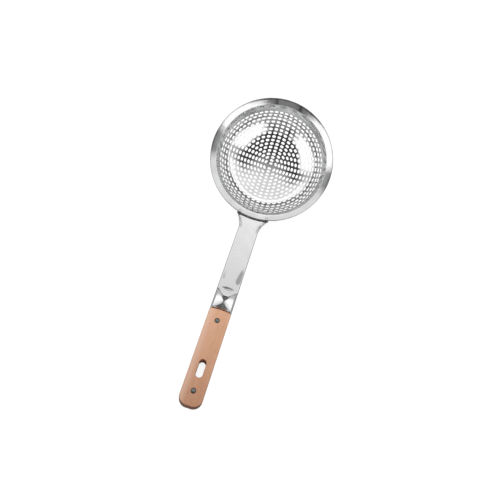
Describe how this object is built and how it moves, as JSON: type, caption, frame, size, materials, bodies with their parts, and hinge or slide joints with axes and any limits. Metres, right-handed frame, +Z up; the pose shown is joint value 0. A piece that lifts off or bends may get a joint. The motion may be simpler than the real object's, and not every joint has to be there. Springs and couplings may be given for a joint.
{
  "type": "strainer skimmer",
  "caption": "Long-handled strainer skimmer: round perforated steel bowl with a rising flange, a straight steel strap and a riveted wooden grip with a hang slot.",
  "frame": {"origin": "under the middle of the tool, on the table that it rests on", "axes": "+Z up from the table, +Y along the tool from the grip to the bowl, +X across it"},
  "size_m": [0.175, 0.42, 0.1046],
  "materials": {
    "bowl_steel": "polished stainless steel",
    "strap_steel": "satin stainless steel",
    "beech": "smooth oiled beech",
    "rivet_steel": "dull steel",
    "weld_steel": "bare weld"
  },
  "bodies": {
    "root": {"strainer_bowl": "bowl_steel", "neck_strap": "strap_steel", "handle_tang": "strap_steel", "front_scale": "beech", "back_scale": "beech", "upper_rivet": "rivet_steel", "upper_rivet_cap": "rivet_steel", "lower_rivet": "rivet_steel", "lower_rivet_cap": "rivet_steel", "rim_weld_left": "weld_steel", "rim_weld_right": "weld_steel"}
  },
  "joints": []
}
